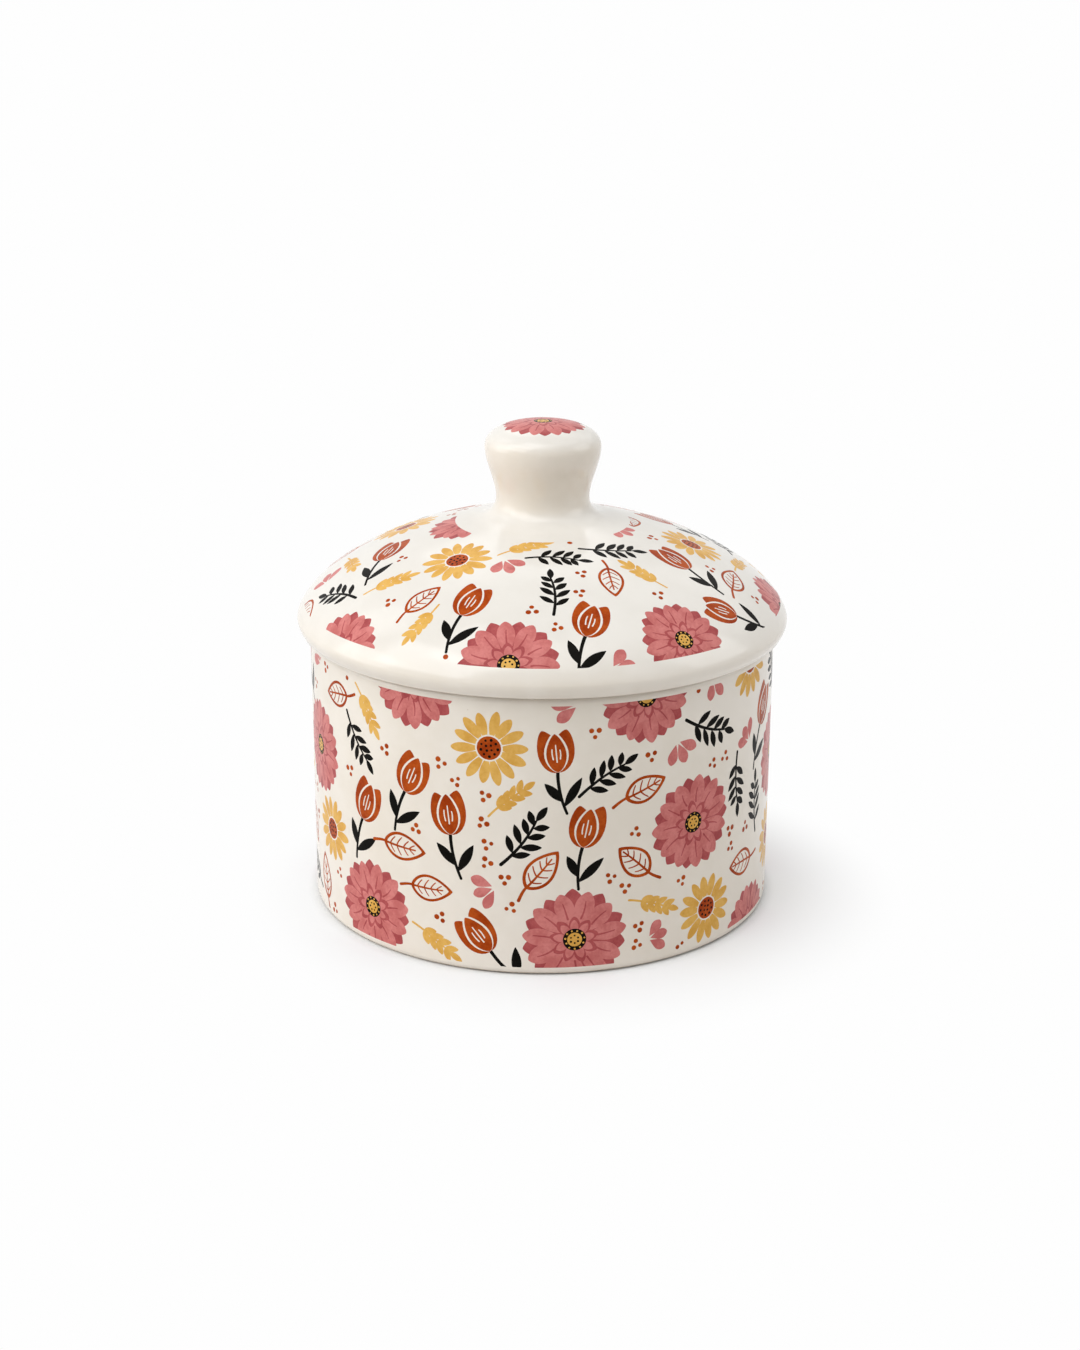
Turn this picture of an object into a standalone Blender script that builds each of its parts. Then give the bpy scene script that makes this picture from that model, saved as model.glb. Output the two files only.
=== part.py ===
"""Ceramic storage jar: a straight-sided vessel, a domed lid that drops into its mouth, and a knob luted to the lid.

Metres, +Z up. The origin is on the jar's axis, on the surface that the foot ring stands on.
"""

import math

import bpy

# Jar
BODY_RADIUS = 0.0600
BODY_HEIGHT = 0.0718
WALL = 0.0050
FLOOR = 0.0055
LIP_ROUND = 0.0018
INSIDE_ROUND = 0.0070
FOOT_ROUND = 0.0018
FOOT_RING_WIDTH = 0.0055
FOOT_RECESS = 0.0015

# Fit of the lid on the jar, and of the knob on the lid
SEAT_GAP = 0.0003
FLANGE_CLEARANCE = 0.0010
LUTING_GAP = 0.0003
LANDING_MARGIN = 0.0003

# Lid: heights from the seat. CROWN_FALL is the dome's drop for each unit outwards at the edge of the knob's landing
LID_OVERHANG = 0.00325
LID_WALL = 0.0050
CROWN_RISE = 0.0284
CROWN_FALL = 0.23
DOME_REACH = 0.0339
DOME_SHOULDER = 0.00335
RIM_RISE = 0.00335
RIM_TUCK = 0.00105
RIM_EDGE_ROUND = 0.0006
FLANGE_DEPTH = 0.0080
FLANGE_WALL = 0.0036
FLANGE_ROUND = 0.0012
FLANGE_ROOT_ROUND = 0.0008

# Knob: heights from its foot
KNOB_HEIGHT = 0.02555
KNOB_RADIUS = 0.01485
KNOB_CAP_DEPTH = 0.00635
KNOB_WAIST_RADIUS = 0.01195
KNOB_WAIST_HEIGHT = 0.0061
KNOB_FLARE_EASE = 0.0043
KNOB_WAIST_EASE = 0.0033
KNOB_FOOT_RADIUS = 0.0193
KNOB_FOOT_REACH = 0.0016
KNOB_FOOT_EDGE = 0.0006

# Roundness of a corner: the share of each leg that its curve's handles take
CIRCLE = 0.5523
FULL_SHOULDER = 0.63
SOFT_TUCK = 2 / 3

# A round takes at most this share of the wall that it is on
MOST_OF_WALL = 0.45

JAR_STEPS = 60
KNOB_STEPS = 48
MERGE_DISTANCE = 0.00001

# Sizes that follow from those above
MOUTH_RADIUS = BODY_RADIUS - WALL
LID_RADIUS = BODY_RADIUS + LID_OVERHANG
LANDING_RADIUS = KNOB_FOOT_RADIUS + LANDING_MARGIN
LANDING_HEIGHT = CROWN_RISE + LANDING_MARGIN * CROWN_FALL - KNOB_FOOT_EDGE - LUTING_GAP
FLANGE_OUTER = MOUTH_RADIUS - FLANGE_CLEARANCE
FLANGE_INNER = FLANGE_OUTER - FLANGE_WALL


def clear_scene():
    for thing in list(bpy.data.objects):
        bpy.data.objects.remove(thing, do_unlink=True)


def cubic_point(curve, t):
    """The point at t, from 0 to 1, of a cubic curve given by its start, two handles and end."""
    weights = ((1 - t) ** 3, 3 * t * (1 - t) ** 2, 3 * t**2 * (1 - t), t**3)
    return tuple(sum(w * point[axis] for w, point in zip(weights, curve)) for axis in (0, 1))


def cubic_normal(curve, t):
    """The unit normal at t, on the left of the curve as it runs outwards and down."""
    weights = ((1 - t) ** 2, 2 * t * (1 - t), t**2)
    legs = [(b[0] - a[0], b[1] - a[1]) for a, b in zip(curve, curve[1:])]
    along = [sum(w * leg[axis] for w, leg in zip(weights, legs)) for axis in (0, 1)]
    length = math.hypot(*along)
    return -along[1] / length, along[0] / length


def along_cubic(curve, count):
    """Points along a cubic curve, without its start."""
    return [cubic_point(curve, step / count) for step in range(1, count + 1)]


def rounded(start, corner, end, count=4, fullness=CIRCLE):
    """Points along a curve that rounds a corner off between start and end, without its start."""
    handles = [tuple(p + fullness * (c - p) for p, c in zip(point, corner)) for point in (start, end)]
    return along_cubic((start, *handles, end), count)


def jar_profile():
    """From the middle of the floor up inside the wall, over the lip and down to the foot."""
    floor_top = FOOT_RECESS + FLOOR
    lip_round = min(LIP_ROUND, MOST_OF_WALL * WALL)
    lip_inside = (MOUTH_RADIUS, BODY_HEIGHT - lip_round)
    lip_outside = (BODY_RADIUS - lip_round, BODY_HEIGHT)
    foot_outside = BODY_RADIUS - FOOT_ROUND
    foot_inside = foot_outside - FOOT_RING_WIDTH

    points = [(0, floor_top), (MOUTH_RADIUS - INSIDE_ROUND, floor_top)]
    points += rounded(points[-1], (MOUTH_RADIUS, floor_top), (MOUTH_RADIUS, floor_top + INSIDE_ROUND), 6)
    points += [lip_inside]
    points += rounded(lip_inside, (MOUTH_RADIUS, BODY_HEIGHT), (MOUTH_RADIUS + lip_round, BODY_HEIGHT))
    points += [lip_outside]
    points += rounded(lip_outside, (BODY_RADIUS, BODY_HEIGHT), (BODY_RADIUS, BODY_HEIGHT - lip_round))
    points += [(BODY_RADIUS, FOOT_ROUND)]
    points += rounded(points[-1], (BODY_RADIUS, 0), (foot_outside, 0))
    points += [(foot_inside, 0), (foot_inside - FOOT_RECESS, FOOT_RECESS), (0, FOOT_RECESS)]
    return points


def dome_curve():
    """The lid's outside from the edge of the knob's landing over the dome to the rim's widest line."""
    return (
        (LANDING_RADIUS, CROWN_RISE),
        (LANDING_RADIUS + DOME_REACH, CROWN_RISE - DOME_REACH * CROWN_FALL),
        (LID_RADIUS, RIM_RISE + DOME_SHOULDER),
        (LID_RADIUS, RIM_RISE),
    )


def under_dome(t):
    """The point under the lid, one wall in from its outside at t of the dome's curve."""
    point = cubic_point(dome_curve(), t)
    normal = cubic_normal(dome_curve(), t)
    return tuple(p - LID_WALL * n for p, n in zip(point, normal))


def where_dome_meets_flange():
    """How far along the dome, from 0 to 1, its underside runs into the flange's inner face."""
    low, high = 0.0, 1.0
    for _ in range(40):
        middle = (low + high) / 2
        if under_dome(middle)[0] < FLANGE_INNER:
            low = middle
        else:
            high = middle
    return low


def lid_profile():
    """From the knob's landing over the dome and rim, along the seat, round the flange and up under the dome.

    The landing is sunk into the crown, so that the knob's foot ends flush with it.
    """
    edge_radius = LID_RADIUS - RIM_TUCK
    edge = (edge_radius, RIM_EDGE_ROUND)
    root = FLANGE_OUTER + FLANGE_ROOT_ROUND
    flange_round = min(FLANGE_ROUND, MOST_OF_WALL * FLANGE_WALL)
    bottom = -FLANGE_DEPTH
    bottom_outside = (FLANGE_OUTER, bottom + flange_round)
    bottom_inside = (FLANGE_INNER + flange_round, bottom)

    points = [(0, LANDING_HEIGHT), (LANDING_RADIUS, LANDING_HEIGHT), (LANDING_RADIUS, CROWN_RISE)]
    points += along_cubic(dome_curve(), 16)
    points += rounded(points[-1], (LID_RADIUS, (RIM_RISE + RIM_EDGE_ROUND) / 2), edge, 4, SOFT_TUCK)
    points += rounded(edge, (edge_radius, 0), (edge_radius - RIM_EDGE_ROUND, 0), 3)
    points += [(root, 0)]
    points += rounded(points[-1], (FLANGE_OUTER, 0), (FLANGE_OUTER, -FLANGE_ROOT_ROUND), 3)
    points += [bottom_outside]
    points += rounded(bottom_outside, (FLANGE_OUTER, bottom), (FLANGE_OUTER - flange_round, bottom), 3)
    points += [bottom_inside]
    points += rounded(bottom_inside, (FLANGE_INNER, bottom), (FLANGE_INNER, bottom + flange_round), 3)
    meeting = where_dome_meets_flange()
    points += [under_dome(meeting * step / 9) for step in range(9, -1, -1)]
    points += [(0, points[-1][1])]
    return points


def knob_profile():
    """From the middle of the knob's top over the cap, down to the waist and out along the foot to the crown."""
    cap_height = KNOB_HEIGHT - KNOB_CAP_DEPTH
    widest = (KNOB_RADIUS, cap_height)
    waist = (KNOB_WAIST_RADIUS, KNOB_WAIST_HEIGHT)
    foot_edge = (KNOB_FOOT_RADIUS, KNOB_FOOT_EDGE)
    below_cap = (KNOB_RADIUS, cap_height - KNOB_FLARE_EASE)
    above_waist = (KNOB_WAIST_RADIUS, KNOB_WAIST_HEIGHT + KNOB_FLARE_EASE)
    below_waist = (KNOB_WAIST_RADIUS, KNOB_WAIST_HEIGHT - KNOB_WAIST_EASE)
    above_foot = (KNOB_FOOT_RADIUS - KNOB_FOOT_REACH, KNOB_FOOT_EDGE + KNOB_FOOT_REACH * CROWN_FALL)

    points = [(0, KNOB_HEIGHT)]
    points += rounded(points[0], (KNOB_RADIUS, KNOB_HEIGHT), widest, 9, FULL_SHOULDER)
    points += along_cubic((widest, below_cap, above_waist, waist), 6)
    points += along_cubic((waist, below_waist, above_foot, foot_edge), 8)
    points += [(KNOB_FOOT_RADIUS, 0), (0, 0)]
    return points


def glaze(name, colour, roughness):
    """A glazed ceramic material."""
    material = bpy.data.materials.new(name)
    material.use_nodes = True
    shader = material.node_tree.nodes["Principled BSDF"]
    shader.inputs["Base Color"].default_value = (*colour, 1)
    shader.inputs["Roughness"].default_value = roughness
    shader.inputs["Metallic"].default_value = 0
    material.diffuse_color = (*colour, 1)
    return material


def turned(name, profile, steps, material, collection):
    """A piece turned about its own Z axis from a profile of (radius, height) points."""
    mesh = bpy.data.meshes.new(name)
    points = [(radius, 0, height) for radius, height in profile]
    edges = [(index, index + 1) for index in range(len(points) - 1)]
    mesh.from_pydata(points, edges, [])
    mesh.materials.append(material)
    piece = bpy.data.objects.new(name, mesh)
    collection.objects.link(piece)
    screw = piece.modifiers.new("Turned", "SCREW")
    screw.axis = "Z"
    screw.angle = 2 * math.pi
    screw.steps = steps
    screw.render_steps = steps
    screw.use_merge_vertices = True
    screw.merge_threshold = MERGE_DISTANCE
    screw.use_smooth_shade = True
    return piece


def main():
    clear_scene()
    collection = bpy.data.collections.new("storage_jar")
    bpy.context.scene.collection.children.link(collection)

    turned("jar_body", jar_profile(), JAR_STEPS, glaze("jar_glaze", (0.80, 0.76, 0.69), 0.25), collection)

    lid = turned("lid", lid_profile(), JAR_STEPS, glaze("lid_glaze", (0.82, 0.78, 0.71), 0.25), collection)
    lid.location.z = BODY_HEIGHT + SEAT_GAP

    knob = turned("knob", knob_profile(), KNOB_STEPS, glaze("knob_glaze", (0.84, 0.80, 0.73), 0.25), collection)
    knob.parent = lid
    knob.location.z = LANDING_HEIGHT + LUTING_GAP


main()
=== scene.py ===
"""Dresses the storage jar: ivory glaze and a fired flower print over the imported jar, lid and knob.

Lengths are in metres, and in millimetres where the print is drawn and cut.
"""

import sys

import logging
import math
import random
from collections.abc import Iterable, Sequence
from dataclasses import dataclass, field, replace
from enum import Enum

import bpy
import numpy as np
from mathutils import Matrix, Vector
from mathutils.geometry import delaunay_2d_cdt


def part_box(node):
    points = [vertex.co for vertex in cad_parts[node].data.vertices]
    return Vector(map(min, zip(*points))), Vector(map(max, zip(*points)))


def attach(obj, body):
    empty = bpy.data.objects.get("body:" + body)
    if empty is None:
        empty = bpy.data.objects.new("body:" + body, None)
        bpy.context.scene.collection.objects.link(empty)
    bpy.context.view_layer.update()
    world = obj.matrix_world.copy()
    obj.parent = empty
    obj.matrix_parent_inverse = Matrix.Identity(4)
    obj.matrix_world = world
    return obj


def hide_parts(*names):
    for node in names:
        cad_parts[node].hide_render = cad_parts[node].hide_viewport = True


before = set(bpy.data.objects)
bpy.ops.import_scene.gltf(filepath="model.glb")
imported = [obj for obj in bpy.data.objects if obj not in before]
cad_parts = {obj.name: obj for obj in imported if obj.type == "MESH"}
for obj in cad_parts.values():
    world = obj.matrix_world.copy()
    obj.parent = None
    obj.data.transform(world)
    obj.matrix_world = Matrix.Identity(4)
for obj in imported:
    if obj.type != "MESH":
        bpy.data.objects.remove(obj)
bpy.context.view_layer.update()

LOG = logging.getLogger("storage_jar")
BAKE_MAP = "OFBake"

MM = 0.001
FULL_TURN = 2 * math.pi
# Turns are counted from the back of the jar, where the bake map is cut open.
BACK = math.pi / 2
# Share of each leg of a corner that the handles of its curve take.
CIRCLE = 0.5523
# A point nearer to the axis than this is on it.
ON_AXIS = 1e-7
# The free strip between two inks on the bake map.
INK_GAP = 0.012

Point = tuple[float, float]
Triple = tuple[float, float, float]
Colour = Triple


class Ink(Enum):
    """What covers a face of the ware."""

    GLAZE = "ivory_glaze"
    ROSE = "rose_print"
    DEEP_ROSE = "deep_rose_print"
    MUSTARD = "mustard_print"
    RUST = "rust_print"
    BLACK = "black_print"
    BISQUE = "bare_bisque"


class Motif(Enum):
    """The drawings that the print is made of."""

    DAHLIA = "dahlia"
    TULIP = "tulip"
    SUN_DAISY = "sun_daisy"
    LEAF_SPRIG = "leaf_sprig"
    VEINED_LEAF = "veined_leaf"
    WHEAT_EAR = "wheat_ear"
    DROP_TRIO = "drop_trio"
    DOT_TRIO = "dot_trio"


class Signal:
    """A value in a shader tree; sums and products with it add Math nodes."""

    def __init__(self, tree: "Tree", socket: bpy.types.NodeSocket) -> None:
        """Keeps the socket and the tree that it belongs to."""
        self.tree = tree
        self.socket = socket

    def maths(self, operation: str, first: "Signal | float", second: "Signal | float") -> "Signal":
        """Adds a Math node.

        Args:
            operation: Blender's name for the operation.
            first: the left side.
            second: the right side.

        Returns:
            The node's result.
        """
        return self.tree.node("ShaderNodeMath", {"operation": operation}, {0: first, 1: second})

    def __add__(self, other: "Signal | float") -> "Signal":
        """This value plus another."""
        return self.maths("ADD", self, other)

    def __sub__(self, other: "Signal | float") -> "Signal":
        """This value less another."""
        return self.maths("SUBTRACT", self, other)

    def __rsub__(self, other: float) -> "Signal":
        """A number less this value."""
        return self.maths("SUBTRACT", other, self)

    def __mul__(self, other: "Signal | float") -> "Signal":
        """This value times another."""
        return self.maths("MULTIPLY", self, other)

    __radd__ = __add__
    __rmul__ = __mul__

    def step(self, low: float, high: float) -> "Signal":
        """A smooth step, from 0 at low to 1 at high."""
        inputs = {"Value": self, "From Min": low, "From Max": high}
        return self.tree.node("ShaderNodeMapRange", {"interpolation_type": "SMOOTHSTEP"}, inputs)


class Tree:
    """A shader tree that is filled node by node."""

    def __init__(self, owner: bpy.types.Material | bpy.types.World) -> None:
        """Empties the tree.

        Args:
            owner: the material or world that it belongs to.
        """
        owner.use_nodes = True
        self.nodes = owner.node_tree.nodes
        self.links = owner.node_tree.links
        self.nodes.clear()

    def node(
        self,
        kind: str,
        settings: dict[str, object] | None = None,
        inputs: dict[str | int, object] | None = None,
        output: str | int = 0,
    ) -> Signal:
        """Adds a node.

        Args:
            kind: the node's type.
            settings: its properties, which are set before its sockets.
            inputs: values, or signals to link, by socket name or number.
            output: the output to hand back.

        Returns:
            That output.
        """
        made = self.nodes.new(kind)
        for name, value in (settings or {}).items():
            setattr(made, name, value)
        for name, value in (inputs or {}).items():
            if isinstance(value, Signal):
                self.links.new(value.socket, made.inputs[name])
            else:
                made.inputs[name].default_value = value
        return Signal(self, made.outputs[output]) if made.outputs else Signal(self, made.inputs[0])

    def place(self) -> Signal:
        """The point on the piece, in metres."""
        return self.node("ShaderNodeTexCoord", output="Object")

    def rise(self) -> Signal:
        """How far the surface faces up, from -1 to 1."""
        facing = self.node("ShaderNodeTexCoord", output="Normal")
        return self.node("ShaderNodeSeparateXYZ", None, {0: facing}, "Z")

    def noise(self, place: Signal, scale: float, detail: float = 2.0) -> Signal:
        """Cloudy noise, about 0.5 on average.

        Args:
            place: where on the piece.
            scale: clouds to the metre.
            detail: octaves.

        Returns:
            Its value.
        """
        return self.node("ShaderNodeTexNoise", None, {"Vector": place, "Scale": scale, "Detail": detail})

    def bump(self, height: Signal) -> Signal:
        """The bent normal of a surface with that relief, in metres."""
        inputs = {"Strength": 1.0, "Distance": 1.0, "Height": height}
        return self.node("ShaderNodeBump", None, inputs, "Normal")

    def blend(self, share: Signal, first: Signal | Colour, second: Signal | Colour) -> Signal:
        """Mixes two colours.

        Args:
            share: how much of the second shows.
            first: the colour at 0.
            second: the colour at 1.

        Returns:
            The mixed colour.
        """
        sides = {6: first, 7: second}
        inputs = {key: side if isinstance(side, Signal) else (*side, 1.0) for key, side in sides.items()}
        settings = {"data_type": "RGBA", "clamp_factor": True}
        return self.node("ShaderNodeMix", settings, {0: share, **inputs}, 2)


@dataclass(frozen=True)
class Skin:
    """The glassy surface that glaze and print share: a faint orange peel over slow waves."""

    peel_scale: float = 420.0
    peel_depth: float = 0.000010
    wave_scale: float = 62.0
    wave_depth: float = 0.000055
    gloss_drift: float = 0.07

    def relief(self, tree: Tree, place: Signal) -> Signal:
        """Shapes the surface.

        Args:
            tree: the material's tree.
            place: where on the piece.

        Returns:
            The bent normal.
        """
        peel = tree.noise(place, self.peel_scale, 1.0)
        wave = tree.noise(place, self.wave_scale, 1.0)
        return tree.bump(peel * self.peel_depth + wave * self.wave_depth)


class Finish:
    """What every finish shares: one shader, whose inputs the finish mixes."""

    pale: Colour

    def mixed(self, tree: Tree, place: Signal) -> dict[str | int, object]:
        """Mixes the shader's inputs.

        Args:
            tree: the material's tree.
            place: where on the piece.

        Returns:
            The inputs by socket.
        """
        raise NotImplementedError

    def fire(self, name: str) -> bpy.types.Material:
        """Makes the material.

        Args:
            name: its name.

        Returns:
            The fired finish.
        """
        material = bpy.data.materials.new(name)
        tree = Tree(material)
        shader = tree.node("ShaderNodeBsdfPrincipled", None, self.mixed(tree, tree.place()))
        tree.node("ShaderNodeOutputMaterial", None, {"Surface": shader})
        material.diffuse_color = (*self.pale, 1.0)
        return material


@dataclass(frozen=True)
class Glaze(Finish):
    """Soft-gloss ivory glaze: its tone drifts, it is paler and more neutral where it faces up, a painted
    sheen of the light from above, and it has specks of iron.
    """

    pale: Colour = (0.875, 0.812, 0.723)
    warm: Colour = (0.830, 0.760, 0.658)
    # Painted sheen: paler, more neutral tones for glaze that faces up, standing in for the light from above.
    painted_sheen_pale: Colour = (0.836, 0.803, 0.744)
    painted_sheen_warm: Colour = (0.798, 0.762, 0.700)
    painted_sheen_reach: Point = (0.05, 0.90)
    speck: Colour = (0.36, 0.25, 0.15)
    roughness: float = 0.145
    drift_scale: float = 21.0
    drift_share: float = 0.65
    cloud_scale: float = 170.0
    tone_reach: Point = (0.36, 0.64)
    speck_scale: float = 230.0
    speck_size: float = 0.055
    speck_core: float = 0.3
    speck_share: float = 0.86
    speck_strength: float = 0.42
    skin: Skin = Skin()

    def mixed(self, tree: Tree, place: Signal) -> dict[str | int, object]:
        """Mixes the shader's inputs.

        Args:
            tree: the material's tree.
            place: where on the piece.

        Returns:
            The inputs by socket.
        """
        drift = tree.noise(place, self.drift_scale)
        cloud = tree.noise(place, self.cloud_scale, 3.0)
        tone = (drift * self.drift_share + cloud * (1 - self.drift_share)).step(*self.tone_reach)
        side = tree.blend(tone, self.pale, self.warm)
        # Painted sheen: the up-facing tone, mixed in by how far the surface faces up, stands in for the
        # light from above.
        crown = tree.blend(tone, self.painted_sheen_pale, self.painted_sheen_warm)
        body = tree.blend(tree.rise().step(*self.painted_sheen_reach), side, crown)
        cells = {"Vector": place, "Scale": self.speck_scale}
        near = tree.node("ShaderNodeTexVoronoi", None, cells, "Distance")
        chosen = tree.node("ShaderNodeTexVoronoi", None, cells, "Color")
        lot = tree.node("ShaderNodeSeparateColor", None, {0: chosen}, "Red")
        core = self.speck_core * self.speck_size
        speck = (1 - near.step(core, self.speck_size)) * lot.step(self.speck_share, 1.0)
        colour = tree.blend(speck * self.speck_strength, body, self.speck)
        gloss = cloud * self.skin.gloss_drift + (self.roughness - self.skin.gloss_drift / 2)
        return {"Base Color": colour, "Roughness": gloss, "Normal": self.skin.relief(tree, place)}


@dataclass(frozen=True)
class PrintInk(Finish):
    """Fired print colour: it pools and thins as a brushed wash does, and has the grain of a transfer."""

    pale: Colour
    deep: Colour
    roughness: float = 0.24
    gloss_drift: float = 0.06
    pool_scale: float = 260.0
    grain_scale: float = 1500.0
    grain_share: float = 0.30
    wash_reach: Point = (0.34, 0.66)
    specular: float = 0.06
    skin: Skin = Skin()

    def mixed(self, tree: Tree, place: Signal) -> dict[str | int, object]:
        """Mixes the shader's inputs.

        Args:
            tree: the material's tree.
            place: where on the piece.

        Returns:
            The inputs by socket.
        """
        pool = tree.noise(place, self.pool_scale, 3.0)
        grain = tree.noise(place, self.grain_scale, 2.0)
        wash = (pool * (1 - self.grain_share) + grain * self.grain_share).step(*self.wash_reach)
        colour = tree.blend(wash, self.pale, self.deep)
        gloss = grain * self.gloss_drift + (self.roughness - self.gloss_drift / 2)
        normal = self.skin.relief(tree, place)
        plain = {"Specular IOR Level": self.specular}
        return {"Base Color": colour, "Roughness": gloss, "Normal": normal, **plain}


@dataclass(frozen=True)
class Bisque(Finish):
    """Unglazed white ware, dry and slightly sandy, on the lip, the seat and the foot; its tan, darker than
    the glaze, is partly painted shade: on the lip it paints the seam under the lid, and on the foot's round
    the dark contact line at the table.
    """

    pale: Colour = (0.76, 0.68, 0.58)
    dusty: Colour = (0.56, 0.47, 0.38)
    roughness: float = 0.82
    gloss_drift: float = 0.1
    grain_scale: float = 1300.0
    grain_depth: float = 0.00004
    grain_share: float = 0.5
    stain_scale: float = 90.0
    tone_reach: Point = (0.38, 0.66)

    def mixed(self, tree: Tree, place: Signal) -> dict[str | int, object]:
        """Mixes the shader's inputs.

        Args:
            tree: the material's tree.
            place: where on the piece.

        Returns:
            The inputs by socket.
        """
        grain = tree.noise(place, self.grain_scale, 3.0)
        stain = tree.noise(place, self.stain_scale, 2.0)
        dust = (grain * self.grain_share + stain * (1 - self.grain_share)).step(*self.tone_reach)
        colour = tree.blend(dust, self.pale, self.dusty)
        gloss = grain * self.gloss_drift + (self.roughness - self.gloss_drift / 2)
        return {"Base Color": colour, "Roughness": gloss, "Normal": tree.bump(grain * self.grain_depth)}


class Kiln:
    """Fires every finish once and hands it out by ink."""

    def __init__(self) -> None:
        """Fires the finishes."""
        finishes: dict[Ink, Finish] = {
            Ink.GLAZE: Glaze(),
            Ink.ROSE: PrintInk((0.690, 0.235, 0.218), (0.555, 0.150, 0.140)),
            Ink.DEEP_ROSE: PrintInk((0.480, 0.105, 0.105), (0.370, 0.066, 0.070)),
            Ink.MUSTARD: PrintInk((0.800, 0.475, 0.120), (0.700, 0.370, 0.070)),
            Ink.RUST: PrintInk((0.485, 0.082, 0.008), (0.330, 0.037, 0.001)),
            Ink.BLACK: PrintInk(
                (0.007, 0.006, 0.005), (0.003, 0.003, 0.002), grain_share=0.5, specular=0.03
            ),
            Ink.BISQUE: Bisque(),
        }
        self.fired = {ink: finish.fire(ink.value) for ink, finish in finishes.items()}


@dataclass(frozen=True)
class Station:
    """A point of a section, with the normal that faces out of the ware and the ink that leads to it."""

    radius: float
    height: float
    out: float
    up: float
    ink: Ink


class Section:
    """Half the outline of a turned piece, walked with the ware on the right."""

    def __init__(self, start: Point) -> None:
        """Starts an empty section.

        Args:
            start: its first radius and height.
        """
        self.at = start
        self.ink = Ink.GLAZE
        self.stations: list[Station] = []

    def cubic(
        self, first: Point, second: Point, end: Point, count: int, span: Point = (0.0, 1.0)
    ) -> "Section":
        """Follows a cubic curve from where the section is.

        Args:
            first: the handle at its start.
            second: the handle at its end.
            end: its end.
            count: steps along it.
            span: the part of the curve that is followed.

        Returns:
            The section.
        """
        curve = np.array((self.at, first, second, end))
        skip = 1 if self.stations else 0
        for share in np.linspace(span[0], span[1], count + 1)[skip:]:
            rest = 1 - share
            spot = np.array((rest**3, 3 * share * rest**2, 3 * share**2 * rest, share**3)) @ curve
            along = np.array((rest**2, 2 * share * rest, share**2)) @ np.diff(curve, axis=0)
            along /= math.hypot(*along)
            self.stations.append(Station(*map(float, spot), float(-along[1]), float(along[0]), self.ink))
        self.at = (self.stations[-1].radius, self.stations[-1].height)
        return self

    def line(self, end: Point, count: int = 1) -> "Section":
        """Goes straight to a point in even steps."""
        thirds = [tuple(a + share * (b - a) for a, b in zip(self.at, end)) for share in (1 / 3, 2 / 3)]
        return self.cubic(*thirds, end, count)

    def round(self, corner: Point, end: Point, count: int = 7, fullness: float = CIRCLE) -> "Section":
        """Rounds a corner off.

        Args:
            corner: where the two legs would meet.
            end: where the curve ends.
            count: steps along it.
            fullness: share of each leg that the handles take.

        Returns:
            The section.
        """
        handles = [tuple(p + fullness * (c - p) for p, c in zip(point, corner)) for point in (self.at, end)]
        return self.cubic(*handles, end, count)

    def recoat(self, count: int, ink: Ink) -> None:
        """Gives the last stations another ink."""
        self.stations[-count:] = [replace(one, ink=ink) for one in self.stations[-count:]]


@dataclass(frozen=True)
class Patch:
    """One colour area of a drawing, in millimetres about the drawing's middle."""

    ink: Ink
    outline: np.ndarray

    def laid(self, angle: float, size: float) -> np.ndarray:
        """The outline turned anticlockwise and scaled."""
        return turned(self.outline, angle) * size


def turned(outline: np.ndarray, angle: float) -> np.ndarray:
    """Turns an outline anticlockwise about the origin."""
    sine, cosine = math.sin(angle), math.cos(angle)
    return outline @ np.array(((cosine, sine), (-sine, cosine)))


def petal(
    length: float, width: float, belly: float = 1.0, blunt: float = 0.6, count: int = 15
) -> np.ndarray:
    """Draws a petal from its foot at the origin up to its tip.

    Args:
        length: foot to tip.
        width: across its widest part.
        belly: over 1, its widest part is nearer the tip; under 1, nearer the foot.
        blunt: 1 for pointed ends, and less for rounder ones.
        count: points along each side.

    Returns:
        The outline.
    """
    share = (1 - np.cos(np.linspace(0, math.pi, count))) / 2
    half = width / 2 * np.sin(math.pi * share**belly).clip(0) ** blunt
    side = np.column_stack((half, share * length))
    return np.vstack((side, side[-2:0:-1] * (-1, 1)))


def disc(radius: float, middle: Point = (0.0, 0.0), count: int = 16) -> np.ndarray:
    """Draws a disc."""
    angles = np.linspace(0, FULL_TURN, count, endpoint=False)
    return np.column_stack((np.cos(angles), np.sin(angles))) * radius + middle


def bow(start: Point, bend: Point, end: Point, count: int = 12) -> np.ndarray:
    """Points along a bow from start to end, pulled towards bend."""
    share = np.linspace(0, 1, count)[:, None]
    return (1 - share) ** 2 * start + 2 * share * (1 - share) * np.array(bend) + share**2 * np.array(end)


def stroke(path: np.ndarray, start_width: float, end_width: float) -> np.ndarray:
    """Draws a brush stroke with round ends.

    Args:
        path: the points that it follows.
        start_width: its width at the first point.
        end_width: its width at the last point.

    Returns:
        The outline.
    """
    along = np.gradient(path, axis=0)
    along /= np.linalg.norm(along, axis=1)[:, None]
    across = np.column_stack((-along[:, 1], along[:, 0]))
    half = np.linspace(start_width, end_width, len(path))[:, None] / 2
    caps = []
    for index, sign in ((-1, 1), (0, -1)):
        angles = np.linspace(0, math.pi, 7)[1:-1, None]
        ways = np.cos(angles) * across[index] * sign + np.sin(angles) * along[index] * sign
        caps.append(path[index] + ways * half[index])
    return np.vstack((path + across * half, caps[0], (path - across * half)[::-1], caps[1]))


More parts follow.
